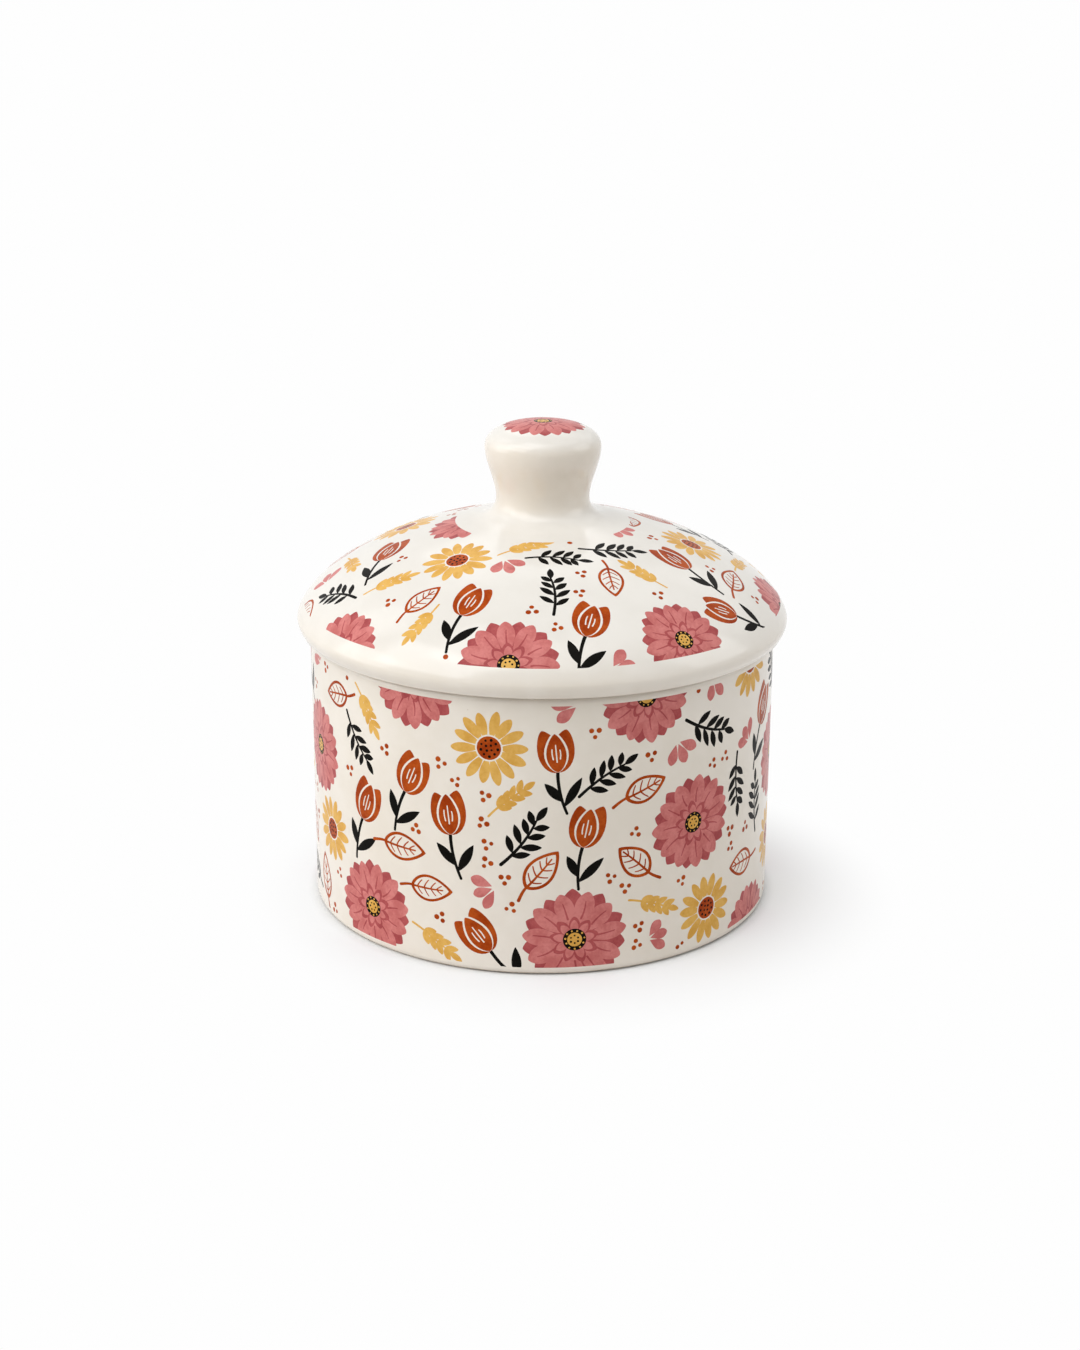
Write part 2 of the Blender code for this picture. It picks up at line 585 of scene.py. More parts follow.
class PatternBook:
    """Draws the motifs in millimetres, each a little different, as a hand does."""

    sway = 0.07
    # The circles that a motif covers: right, up and radius.
    footprints: dict[Motif, tuple[Triple, ...]] = {
        Motif.DAHLIA: ((0, 0, 12.6),),
        Motif.TULIP: ((0, 5.6, 6.2), (0.4, -2.5, 4.2), (0.4, -7.2, 3.4)),
        Motif.SUN_DAISY: ((0, 0, 9.2),),
        Motif.LEAF_SPRIG: ((0, -6.2, 2.4), (0, -1.6, 4.3), (0, 3.0, 4.0), (0, 7.0, 2.6)),
        Motif.VEINED_LEAF: ((0, -6.0, 1.6), (0, -1.0, 3.6), (0, 3.4, 3.3), (0, 6.4, 1.6)),
        Motif.WHEAT_EAR: ((0, -5.4, 1.2), (0, -1.2, 2.6), (0, 2.8, 2.8), (0, 6.0, 2.0)),
        Motif.DROP_TRIO: ((0, 0.4, 4.2),),
        Motif.DOT_TRIO: ((0, 0, 2.0),),
    }

    def __init__(self, seed: int) -> None:
        """Starts with a seed, so that each run draws the same."""
        self.chance = random.Random(seed)

    def draw(self, motif: Motif) -> list[Patch]:
        """Draws a motif, by the method of its name."""
        return getattr(self, motif.value)()

    def about(self, value: float, share: float = 0.07) -> float:
        """The value, more or less."""
        return value * self.chance.uniform(1 - share, 1 + share)

    def whorl(
        self, ink: Ink, count: int, foot: float, shape: tuple[float, float, float, float], start: float = 0.0
    ) -> list[Patch]:
        """Draws a ring of petals.

        Args:
            ink: their colour.
            count: how many.
            foot: how far from the middle they start.
            shape: length, width, belly and blunt of a petal.
            start: the first one's angle, in steps of the ring.

        Returns:
            The petals.
        """
        length, width, belly, blunt = shape
        ring = []
        for index in range(count):
            one = petal(self.about(length, 0.05), self.about(width), belly, blunt) + (0, foot)
            angle = FULL_TURN * (index + start + self.chance.uniform(-self.sway, self.sway)) / count
            ring.append(Patch(ink, turned(one, angle)))
        return ring

    def dots(self, ink: Ink, count: int, ring: float, radius: float) -> list[Patch]:
        """Draws a ring of dots.

        Args:
            ink: their colour.
            count: how many.
            ring: how far from the middle they are.
            radius: the size of a dot.

        Returns:
            The dots.
        """
        drawn = []
        for index in range(count):
            middle = turned(np.array(((0, self.about(ring)),)), FULL_TURN * index / count)[0]
            drawn.append(Patch(ink, disc(self.about(radius, 0.15), middle, 9)))
        return drawn

    def dahlia(self) -> list[Patch]:
        """A full rose-coloured flower in two rows of petals round a mustard eye.

        Returns:
            Its patches, in the order they are printed.
        """
        outer, inner = 11, 9
        drawn = self.whorl(Ink.DEEP_ROSE, outer, 4.6, (7.9, 4.6, 1.3, 0.75), 0.5)
        drawn.append(Patch(Ink.DEEP_ROSE, disc(6.4, count=33)))
        drawn += self.whorl(Ink.ROSE, outer, 2.6, (9.7, 4.5, 1.35, 0.62))
        for index in range(outer):
            bend = (self.chance.uniform(-0.5, 0.5), 7.4)
            vein = stroke(bow((0, 5.4), bend, (0, self.about(9.3))), 0.5, 0.25)
            drawn.append(Patch(Ink.DEEP_ROSE, turned(vein, FULL_TURN * index / outer)))
        drawn += self.whorl(Ink.DEEP_ROSE, inner, 1.0, (4.9, 2.7, 1.2, 0.65), 0.5)
        drawn += self.whorl(Ink.ROSE, inner, 1.0, (3.9, 2.0, 1.2, 0.65), 0.5)
        drawn.append(Patch(Ink.BLACK, disc(2.75, count=26)))
        drawn.append(Patch(Ink.MUSTARD, disc(1.75, count=20)))
        drawn += self.dots(Ink.MUSTARD, 11, 2.25, 0.24)
        drawn += self.dots(Ink.BLACK, 6, 0.95, 0.26)
        return drawn

    def tulip(self) -> list[Patch]:
        """A rust tulip from the side, on a black stem with two leaves.

        Returns:
            Its patches, in the order they are printed.
        """
        stem = bow((0, 1), (-0.8, -5), (1.2, -11.5))
        drawn = [Patch(Ink.BLACK, stroke(stem, 0.95, 0.75))]
        for start, angle, length in (((0.7, -9.6), -0.62, 8.8), ((0.5, -8.2), 0.66, 7.2)):
            leaf = turned(petal(self.about(length), 2.5, 1.0, 0.85), angle) + start
            drawn.append(Patch(Ink.BLACK, leaf))
        for angle in (0.27, -0.27):
            side = turned(petal(self.about(11.6, 0.04), 6.6, 0.78, 0.62), angle)
            drawn.append(Patch(Ink.RUST, side))
        drawn.append(Patch(Ink.GLAZE, petal(11.0, 6.3, 0.86, 0.7)))
        drawn.append(Patch(Ink.RUST, petal(10.4, 5.2, 0.86, 0.7) + (0, 0.05)))
        for side, foot, top in ((-1.0, 3.6, 6.3), (0.0, 2.8, 7.4), (1.0, 3.6, 6.0)):
            mark = bow((side * 0.9, foot), (side * 1.2, 5), (side, top))
            drawn.append(Patch(Ink.GLAZE, stroke(mark, 0.36, 0.3)))
        return drawn

    def sun_daisy(self) -> list[Patch]:
        """A mustard daisy with a rust eye.

        Returns:
            Its patches, in the order they are printed.
        """
        drawn = self.whorl(Ink.MUSTARD, 14, 2.2, (6.9, 2.55, 1.35, 0.55))
        drawn.append(Patch(Ink.GLAZE, disc(3.3, count=26)))
        drawn.append(Patch(Ink.RUST, disc(2.9, count=26)))
        drawn += self.dots(Ink.BLACK, 9, 2.0, 0.33)
        drawn += self.dots(Ink.BLACK, 4, 0.8, 0.33)
        return drawn

    def leaf_sprig(self) -> list[Patch]:
        """A black sprig with pairs of pointed leaves.

        Returns:
            Its patches, in the order they are printed.
        """
        lean = self.chance.choice((-1.5, 1.5))
        stem = bow((0, -8.6), (lean, -1), (0, 5.2), 20)
        drawn = [Patch(Ink.BLACK, stroke(stem, 0.85, 0.55))]
        for level, length in ((5, 4.7), (9, 4.9), (13, 4.4), (17, 3.6)):
            for side in (1, -1):
                leaf = petal(self.about(length), self.about(1.75), 1.0, 0.8, 12) + (0, 0.25)
                angle = side * self.chance.uniform(0.78, 0.95)
                drawn.append(Patch(Ink.BLACK, turned(leaf, angle) + stem[level - (side < 0)]))
        drawn.append(Patch(Ink.BLACK, petal(4.4, 1.8, 1.0, 0.8, 12) + stem[-1]))
        return drawn

    def veined_leaf(self) -> list[Patch]:
        """A rust leaf drawn in line, with a midrib and side veins.

        Returns:
            Its patches, in the order they are printed.
        """
        blade = self.about(11.6)
        width = self.about(7.0)
        drawn = [
            Patch(Ink.RUST, petal(blade, width, 0.8, 0.78, 20) + (0, -4.4)),
            Patch(Ink.GLAZE, petal(blade - 2.0, width - 1.45, 0.8, 0.78, 20) + (0, -3.5)),
            Patch(Ink.RUST, stroke(bow((0.7, -7.8), (-0.2, -5), (0, -4), 8), 0.8, 0.62)),
            Patch(Ink.RUST, stroke(bow((0, -4.2), (0.25, 0), (0, 5.0)), 0.62, 0.4)),
        ]
        for level, reach in ((-2.4, 1.9), (-0.4, 2.2), (1.6, 1.75), (3.3, 1.1)):
            for side in (1, -1):
                vein = bow((0, level), (side * reach * 0.5, level + 0.35), (side * reach, level + 1.35), 7)
                drawn.append(Patch(Ink.RUST, stroke(vein, 0.42, 0.3)))
        return drawn

    def wheat_ear(self) -> list[Patch]:
        """A mustard ear of wheat.

        Returns:
            Its patches, in the order they are printed.
        """
        stem = bow((0.6, -7.2), (-0.4, -3), (0, 4.6), 18)
        drawn = [Patch(Ink.MUSTARD, stroke(stem, 0.6, 0.5))]
        for level in (6, 9, 12, 15):
            for side in (1, -1):
                grain = petal(self.about(3.5), self.about(1.75), 0.85, 0.6, 11) + (0, 0.15)
                drawn.append(Patch(Ink.MUSTARD, turned(grain, side * self.about(0.62)) + stem[level]))
        drawn.append(Patch(Ink.MUSTARD, petal(3.6, 1.7, 0.85, 0.6, 11) + stem[-1]))
        return drawn

    def drop_trio(self) -> list[Patch]:
        """Three rose drops that fan out.

        Returns:
            Its patches, in the order they are printed.
        """
        drops = []
        for angle in (0.72, 0.0, -0.72):
            drop = petal(self.about(5.4), self.about(2.9), 1.6, 0.62) + (0, 0.9)
            drops.append(Patch(Ink.ROSE, turned(drop, angle) + (0, -3.4)))
        return drops

    def dot_trio(self) -> list[Patch]:
        """Three small rust dots."""
        return self.dots(Ink.RUST, 3, 1.05, 0.62)


class Stretch:
    """A stretch of a section that takes the print, and the flat ring or disc that it is cut on.

    The flat keeps angles: a small circle on the ware is a small circle on it.
    """

    # A stretch that widens less than this for each unit along it is laid as a cylinder.
    straight = 0.02
    least_rows = 2
    least_spots = 6

    def __init__(self, stations: Sequence[Station], bare_edge: float) -> None:
        """Measures the stretch.

        Args:
            stations: the stretch, from its upper edge down.
            bare_edge: millimetres at its edges that stay free of print.
        """
        self.radii = np.array([one.radius for one in stations]) / MM
        self.heights = np.array([one.height for one in stations]) / MM
        self.outs = np.array([one.out for one in stations])
        self.ups = np.array([one.up for one in stations])
        steps = np.hypot(np.diff(self.radii), np.diff(self.heights))
        self.runs = np.concatenate(((0,), np.cumsum(steps)))
        self.spreads = np.gradient(self.radii, self.runs)
        self.closed = stations[0].radius < ON_AXIS
        growth = steps / ((self.radii[1:] + self.radii[:-1]) / 2)
        self.flats = self.radii[-1] * np.exp(np.concatenate((np.cumsum(growth[::-1])[::-1], (0,))) * -1)
        if self.closed:
            self.flats[0] = 0.0
        self.print_from = 0.0 if self.closed else bare_edge
        self.print_to = self.runs[-1] - bare_edge

    def lay(self, outline: np.ndarray, run: float, turn: float) -> tuple[np.ndarray, np.ndarray]:
        """Lays a drawing on the ware, unrolled about the cone that touches it there.

        Args:
            outline: points in millimetres, to the right and up.
            run: where the drawing's middle is, from the upper edge down.
            turn: where it is round the axis.

        Returns:
            The points' runs and turns.
        """
        radius = float(np.interp(run, self.runs, self.radii))
        spread = float(np.interp(run, self.runs, self.spreads))
        right, down = outline[:, 0], -outline[:, 1]
        if spread < self.straight:
            return run + down, turn + right / radius
        reach = radius / spread
        return (
            run + np.hypot(right, reach + down) - reach,
            turn + np.arctan2(right, reach + down) / spread,
        )

    def flatten(self, runs: np.ndarray, turns: np.ndarray) -> np.ndarray:
        """Points of the stretch on its flat."""
        flats = np.interp(runs, self.runs, self.flats)
        return np.column_stack((flats * np.cos(turns), flats * np.sin(turns)))

    def lift(self, flat: np.ndarray) -> tuple[np.ndarray, np.ndarray]:
        """Runs and turns of points on the flat."""
        runs = np.interp(np.hypot(flat[:, 0], flat[:, 1]), self.flats, self.runs)
        return runs, np.arctan2(flat[:, 1], flat[:, 0])

    def stand(self, runs: np.ndarray, turns: np.ndarray) -> np.ndarray:
        """Points of the stretch in space, in millimetres.

        Args:
            runs: how far down the stretch they are.
            turns: where they are round the axis.

        Returns:
            The points.
        """
        radii = np.interp(runs, self.runs, self.radii)
        heights = np.interp(runs, self.runs, self.heights)
        return np.column_stack((radii * np.cos(turns + BACK), radii * np.sin(turns + BACK), heights))

    def face(self, runs: np.ndarray, turns: np.ndarray) -> np.ndarray:
        """Unit normals of points of the stretch.

        Args:
            runs: how far down the stretch they are.
            turns: where they are round the axis.

        Returns:
            The normals.
        """
        outs = np.interp(runs, self.runs, self.outs)
        ups = np.interp(runs, self.runs, self.ups)
        normals = np.column_stack((outs * np.cos(turns + BACK), outs * np.sin(turns + BACK), ups))
        return normals / np.linalg.norm(normals, axis=1)[:, None]

    def filling(self, spacing: float) -> np.ndarray:
        """Evenly spread points on the flat that keep the cut surface round.

        Args:
            spacing: millimetres between them on the ware.

        Returns:
            The points.
        """
        rows = max(self.least_rows, round(self.runs[-1] / spacing))
        spots = [np.zeros((1, 2))] if self.closed else []
        for row in range(1, rows):
            run = self.runs[-1] * row / rows
            around = FULL_TURN * float(np.interp(run, self.runs, self.radii))
            count = max(self.least_spots, round(around / spacing))
            turns = (np.arange(count) + (row % 2) / 2) * FULL_TURN / count
            spots.append(self.flatten(np.full(count, run), turns))
        return np.vstack(spots)


@dataclass(frozen=True)
class Sowing:
    """How many of a motif the print sows at most, at what size, how far they lean and if they sit snug."""

    motif: Motif
    count: int
    size: float = 1.0
    lean: float = math.pi
    snug: bool = True


@dataclass(frozen=True)
class Transfer:
    """A print: what it sows, how close, and the seed that fixes the layout."""

    sowings: tuple[Sowing, ...]
    seed: int
    sizes: Point = (0.94, 1.06)
    gap: float = 0.7
    tries: int = 250
    overhang: float = 0.3
    reach: float = 4.0
    least: float = 0.6

    def sow(self, stretch: Stretch) -> list[Patch]:
        """Lays the motifs on a stretch, and leaves out those that find no room.

        Args:
            stretch: what is printed.

        Returns:
            The patches on the stretch's flat, in the order they are printed.
        """
        book = PatternBook(self.seed)
        chance = random.Random(self.seed + 1)
        taken = np.empty((0, 4))
        patches: list[Patch] = []
        for sowing in self.sowings:
            for _ in range(sowing.count):
                drawn = book.draw(sowing.motif)
                size = sowing.size * chance.uniform(*self.sizes)
                circles = np.array(book.footprints[sowing.motif]) * size
                place, spots = self.find_place(stretch, sowing, circles, taken, chance)
                if place is not None:
                    taken = np.vstack((taken, spots))
                    patches += self.printed(stretch, drawn, (*place, size), self.least)
        return patches

    def find_place(
        self, stretch: Stretch, sowing: Sowing, circles: np.ndarray, taken: np.ndarray, chance: random.Random
    ) -> tuple[Triple | None, np.ndarray]:
        """Tries places for a motif: a snug one ends close to its neighbours, any other far from them.

        Args:
            stretch: what is printed.
            sowing: how the motif is sown.
            circles: the circles that the motif covers.
            taken: the circles in space that are taken.
            chance: where places come from.

        Returns:
            The best place's run, turn and angle, or None, and the motif's circles in space.
        """
        widest = float(stretch.radii.max())
        best: Triple | None = None
        best_spots, best_merit = taken, -math.inf
        for _ in range(self.tries):
            run = chance.uniform(-self.reach, stretch.runs[-1] + self.reach)
            turn = chance.uniform(0, FULL_TURN)
            angle = chance.uniform(-sowing.lean, sowing.lean)
            if chance.random() * widest > float(np.interp(run, stretch.runs, stretch.radii)):
                continue
            runs, turns = stretch.lay(turned(circles[:, :2], angle), run, turn)
            beyond = np.maximum(-runs, runs - stretch.runs[-1])
            if (beyond > self.overhang * circles[:, 2]).any():
                continue
            spots = np.column_stack((stretch.stand(runs, turns), circles[:, 2]))
            room = self.room(spots, taken)
            merit = -room if sowing.snug else room
            if room >= self.gap and merit > best_merit:
                best, best_spots, best_merit = (run, turn, angle), spots, merit
        return best, best_spots

    @staticmethod
    def room(spots: np.ndarray, taken: np.ndarray) -> float:
        """Measures the least gap between new circles and those that are taken.

        Args:
            spots: the new circles in space.
            taken: the others.

        Returns:
            The gap.
        """
        if not len(taken):
            return math.inf
        apart = np.linalg.norm(spots[:, None, :3] - taken[None, :, :3], axis=2)
        return float((apart - spots[:, None, 3] - taken[None, :, 3]).min())

    @staticmethod
    def printed(
        stretch: Stretch,
        drawn: Iterable[Patch],
        place: tuple[float, float, float, float],
        least: float = 0.0,
    ) -> list[Patch]:
        """Lays a drawing on the flat, cut off at the edges of the print.

        Args:
            stretch: what is printed.
            drawn: the drawing.
            place: its run, turn, angle and size.
            least: the least height of a cut patch, so that no sliver is left at an edge.

        Returns:
            Its patches on the flat.
        """
        run, turn, angle, size = place
        laid = []
        for patch in drawn:
            runs, turns = stretch.lay(patch.laid(angle, size), run, turn)
            inside = (runs > stretch.print_from) & (runs < stretch.print_to)
            kept = runs.clip(stretch.print_from, stretch.print_to)
            if stretch.closed or inside.all() or np.ptp(kept) > least:
                laid.append(Patch(patch.ink, stretch.flatten(kept, turns)))
        return laid


@dataclass(frozen=True)
class Cloth:
    """A rectangle of the bake map."""

    left: float
    low: float
    right: float
    high: float

    def at(self, across: float, along: float) -> Point:
        """A place in it, from shares across and along."""
        width, height = self.right - self.left, self.high - self.low
        return self.left + across * width, self.low + along * height


def inside_outline(spots: np.ndarray, outline: np.ndarray) -> np.ndarray:
    """Says which spots are inside a closed outline.

    Args:
        spots: the spots.
        outline: the corners of the outline, in order.

    Returns:
        True for each spot that is inside.
    """
    start, end = outline, np.roll(outline, -1, axis=0)
    x, y = spots[:, 0:1], spots[:, 1:2]
    spans = (start[:, 1] > y) != (end[:, 1] > y)
    rise = np.where(end[:, 1] == start[:, 1], 1.0, end[:, 1] - start[:, 1])
    crossing = start[:, 0] + (y - start[:, 1]) * (end[:, 0] - start[:, 0]) / rise
    return (spans & (x < crossing)).sum(axis=1) % 2 == 1


class Ware:
    """Collects the points, normals, faces, inks and bake-map places of one turned piece."""

    seam_pad = 0.025
    cut_merge = 0.004
    filling_step = 2.7

    def __init__(self, steps: int) -> None:
        """Starts an empty piece.

        Args:
            steps: its steps round the axis.
        """
        self.steps = steps
        self.points: list[Sequence[float]] = []
        self.normals: list[Sequence[float]] = []
        self.faces: list[tuple[int, ...]] = []
        self.inks: list[Ink] = []
        self.places: list[Point] = []

    def ring(self, station: Station) -> list[int]:
        """Adds a station's ring of points, or one point on the axis.

        Args:
            station: the station.

        Returns:
            The numbers of the points.
        """
        first = len(self.points)
        count = 1 if station.radius < ON_AXIS else self.steps
        turns = [FULL_TURN * j / count for j in range(count)]
        for turn in turns:
            sine, cosine = math.sin(turn + BACK), math.cos(turn + BACK)
            self.points.append((station.radius * cosine, station.radius * sine, station.height))
            out = station.out if len(turns) > 1 else 0.0
            self.normals.append((out * cosine, out * sine, station.up))
        return list(range(first, len(self.points)))

    def strip(self, stations: Sequence[Station], cloth: Cloth, start: list[int] | None = None) -> list[int]:
        """Adds a plain stretch.

        Args:
            stations: the stretch.
            cloth: its place on the bake map.
            start: the ring that it goes on from, in place of its first station's.

        Returns:
            Its last ring.
        """
        spots = [(one.radius, one.height) for one in stations]
        steps = [math.dist(a, b) for a, b in zip(spots, spots[1:])]
        runs = np.concatenate(((0,), np.cumsum(steps))) / sum(steps)
        before = start or self.ring(stations[0])
        for index, station in enumerate(stations[1:], 1):
            after = self.ring(station)
            low, high = runs[index - 1], runs[index]
            for j in range(self.steps):
                k = (j + 1) % self.steps
                left, right = (self.seam_pad + (1 - 2 * self.seam_pad) * n / self.steps for n in (j, j + 1))
                corners = [(before, j, left, low), (after, j, left, high), (after, k, right, high)]
                corners.append((before, k, right, low))
                if len(before) == 1:
                    corners.pop()
                elif len(after) == 1:
                    corners.pop(1)
                self.faces.append(tuple(ring[n % len(ring)] for ring, n, _, _ in corners))
                self.inks.append(station.ink)
                self.places += [cloth.at(across, along) for _, _, across, along in corners]
            before = after
        return before

    def sheet(
        self,
        stretch: Stretch,
        patches: Sequence[Patch],
        cloths: dict[Ink, Cloth],
        start: list[int] | None,
        end: Station,
    ) -> list[int]:
        """Adds a printed stretch, with the outlines of the print cut into it.

        Args:
            stretch: the stretch.
            patches: the print on its flat.
            cloths: each ink's place on the bake map.
            start: the ring that it goes on from, or None for a disc.
            end: the station of its lower edge.

        Returns:
            Its last ring.
        """
        last = self.ring(end)
        even = np.arange(self.steps) * FULL_TURN / self.steps
        loops = [stretch.flatten(np.full(self.steps, stretch.runs[-1]), even)]
        rings = list(last)
        if start:
            loops.append(stretch.flatten(np.zeros(self.steps), even))
            rings += start
        loops += [patch.outline for patch in patches]
        spots = np.vstack(loops + [stretch.filling(self.filling_step)])
        edges = []
        first = 0
        for loop in loops:
            count = len(loop)
            edges += [(first + n, first + (n + 1) % count) for n in range(count)]
            first += count
        found = delaunay_2d_cdt([Vector(spot) for spot in spots], edges, [], 0, self.cut_merge, True)
        flat = np.array([tuple(spot) for spot in found[0]])
        runs, turns = stretch.lift(flat)
        numbers = self.numbered(stretch, (runs, turns), found[3], rings)
        cut = np.array(found[2])
        if start:
            inner = np.array([any(self.steps <= n < 2 * self.steps for n in owners) for owners in found[3]])
            cut = cut[~inner[cut].all(axis=1)]
        inks = self.inked(flat[cut].mean(axis=1), patches)
        for corners, ink in zip(cut, inks):
            self.faces.append(tuple(numbers[n] for n in corners))
            self.inks.append(ink)
            self.places += self.mapped(stretch, (flat[corners], runs[corners], turns[corners]), cloths[ink])
        return last

    def numbered(
        self,
        stretch: Stretch,
        spots: tuple[np.ndarray, np.ndarray],
        owners: Sequence[Sequence[int]],
        rings: list[int],
    ) -> list[int]:
        """Adds the cut points that aren't on a ring yet.

        Args:
            stretch: the stretch.
            spots: runs and turns of the cut points.
            owners: for each of them, the points that it came from.
            rings: the numbers of the ring points, which came first.

        Returns:
            The number of every cut point.
        """
        places = stretch.stand(*spots) * MM
        normals = stretch.face(*spots)
        numbers = []
        for place, normal, came_from in zip(places, normals, owners):
            held = [n for n in came_from if n < len(rings)]
            if held:
                numbers.append(rings[held[0]])
                continue
            numbers.append(len(self.points))
            self.points.append(tuple(place))
            self.normals.append(tuple(normal))
        return numbers

    @staticmethod
    def inked(middles: np.ndarray, patches: Sequence[Patch]) -> list[Ink]:
        """Finds the topmost ink at the middle of every cut face.

        Args:
            middles: the faces' middles on the flat.
            patches: the print, in the order it is laid.

        Returns:
            The faces' inks.
        """
        inks = [Ink.GLAZE] * len(middles)
        for patch in patches:
            low, high = patch.outline.min(axis=0), patch.outline.max(axis=0)
            near = np.flatnonzero(((middles >= low) & (middles <= high)).all(axis=1))
            for index in near[inside_outline(middles[near], patch.outline)]:
                inks[index] = patch.ink
        return inks

    def mapped(
        self, stretch: Stretch, corners: tuple[np.ndarray, np.ndarray, np.ndarray], cloth: Cloth
    ) -> list[Point]:
        """Places a cut face on the bake map.

        Args:
            stretch: the stretch.
            corners: the corners on the flat, their runs and their turns.
            cloth: the ink's rectangle of the map.

        Returns:
            A place for each corner.
        """
        flat, runs, turns = corners
        if stretch.closed:
            across, along = (flat / stretch.flats[-1] + 1).T / 2
        else:
            middle = flat.mean(axis=0)
            centre = math.atan2(middle[1], middle[0]) % FULL_TURN
            turns = centre + (turns - centre + math.pi) % FULL_TURN - math.pi
            across = self.seam_pad + (1 - 2 * self.seam_pad) * turns / FULL_TURN
            along = runs / stretch.runs[-1]
        return [cloth.at(float(u), float(v)) for u, v in zip(across, along)]

    def fired(self, name: str, kiln: Kiln) -> bpy.types.Object:
        """Makes the object.

        Args:
            name: its name.
            kiln: the finishes.

        Returns:
            The piece, in the scene.
        """
        mesh = bpy.data.meshes.new(name)
        mesh.from_pydata(self.points, [], self.faces)
        used = [ink for ink in Ink if ink in set(self.inks)]
        for ink in used:
            mesh.materials.append(kiln.fired[ink])
        slots = {ink: slot for slot, ink in enumerate(used)}
        mesh.polygons.foreach_set("material_index", [slots[ink] for ink in self.inks])
        layer = mesh.uv_layers.new(name=BAKE_MAP)
        layer.uv.foreach_set("vector", np.array(self.places, dtype=np.float32).ravel())
        mesh.shade_smooth()
        mesh.normals_split_custom_set_from_vertices(self.normals)
        mesh.update()
        piece = bpy.data.objects.new(name, mesh)
        bpy.context.scene.collection.objects.link(piece)
        return piece


def printed_cloths(low: float, high: float, height: float) -> dict[Ink, Cloth]:
    """Stacks one rectangle per print ink on the bake map, the glaze's the highest.

    Args:
        low: the lowest one's foot.
        high: the top of the glaze's.
        height: from one ink's foot to the next.

    Returns:
        The rectangles.
    """
    inks = (Ink.ROSE, Ink.DEEP_ROSE, Ink.MUSTARD, Ink.RUST, Ink.BLACK)
    cloths = {}
    for index, ink in enumerate(inks):
        foot = low + index * height
        cloths[ink] = Cloth(0.0, foot, 1.0, foot + height - INK_GAP)
    cloths[Ink.GLAZE] = Cloth(0.0, low + len(inks) * height, 1.0, high)
    return cloths


@dataclass
class JarBody:
    """The vessel: a straight wall with a round lip, an inside that is glazed too, and a bare foot ring; the
    bare lip and foot round also paint shade at the seam and at the table.
    """

    wall: float = 0.0050
    floor: float = 0.0055
    lip_round: float = 0.0018
    inside_round: float = 0.0070
    foot_round: float = 0.0018
    foot_ring_width: float = 0.0055
    foot_recess: float = 0.0015
    foot_soften: float = 0.0004
    lip_glazed: int = 6
    foot_bare: int = 6
    steps: int = 240
    transfer: Transfer = Transfer(
        (
            Sowing(Motif.DAHLIA, 16, snug=False),
            Sowing(Motif.TULIP, 16, 0.98, 0.9),
            Sowing(Motif.SUN_DAISY, 13),
            Sowing(Motif.LEAF_SPRIG, 15),
            Sowing(Motif.VEINED_LEAF, 22),
            Sowing(Motif.WHEAT_EAR, 20),
            Sowing(Motif.DROP_TRIO, 40),
            Sowing(Motif.DOT_TRIO, 70),
        ),
        seed=37,
    )
    bare_edge: float = 0.35
    inside_cloth: Cloth = Cloth(0.0, 0.78, 1.0, 0.99)
    print_map: Triple = (0.10, 0.76, 0.085)
    foot_cloth: Cloth = Cloth(0.0, 0.01, 1.0, 0.085)
    radius: float = field(init=False)
    height: float = field(init=False)

    def __post_init__(self) -> None:
        """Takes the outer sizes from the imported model."""
        _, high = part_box("jar_body")
        self.radius, self.height = high.x, high.z

    def inside(self) -> Section:
        """From the middle of the floor up the inside and over the lip.

        Returns:
            The section.
        """
        mouth = self.radius - self.wall
        level = self.foot_recess + self.floor
        lip = self.height - self.lip_round
        section = Section((0.0, level)).line((mouth - self.inside_round, level), 12)
        section.round((mouth, level), (mouth, level + self.inside_round), 12)
        section.line((mouth, lip), 18)
        # The bare lip's darker tan paints the shade in the seam under the lid.
        section.ink = Ink.BISQUE
        section.round((mouth, self.height), (mouth + self.lip_round, self.height))
        section.line((self.radius - self.lip_round, self.height))
        section.round((self.radius, self.height), (self.radius, lip), 10)
        section.recoat(self.lip_glazed, Ink.GLAZE)
        return section

    def foot(self) -> Section:
        """From the wall's lower end round the foot ring to the middle of the underside.

        Returns:
            The section.
        """
        outer = self.radius - self.foot_round
        inner = outer - self.foot_ring_width
        soft = self.foot_soften
        slant = soft * math.sqrt(0.5)
        recess = inner - self.foot_recess
        section = Section((self.radius, self.foot_round))
        section.round((self.radius, 0.0), (outer, 0.0), 10)
        # The bare lower round of the foot paints the dark contact line at the table.
        section.recoat(self.foot_bare, Ink.BISQUE)
        section.ink = Ink.BISQUE
        section.line((inner + soft, 0.0), 3)
        section.round((inner, 0.0), (inner - slant, slant), 4)
        section.line((recess + slant, self.foot_recess - slant))
        section.ink = Ink.GLAZE
        section.round((recess, self.foot_recess), (recess - soft, self.foot_recess), 4)
        return section.line((0.0, self.foot_recess), 12)

    def build(self, kiln: Kiln) -> bpy.types.Object:
        """Builds and dresses the jar.

        Args:
            kiln: the finishes.

        Returns:
            The piece.
        """
        ware = Ware(self.steps)
        inside = self.inside()
        wall = Section(inside.at).line((self.radius, self.foot_round), 40).stations
        lip = ware.strip(inside.stations, self.inside_cloth)
        stretch = Stretch(wall, self.bare_edge)
        patches = self.transfer.sow(stretch)
        edge = ware.sheet(stretch, patches, printed_cloths(*self.print_map), lip, wall[-1])
        ware.strip(self.foot().stations, self.foot_cloth, edge)
        piece = ware.fired("glazed_jar", kiln)
        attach(piece, "jar")
        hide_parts("jar_body")
        return piece


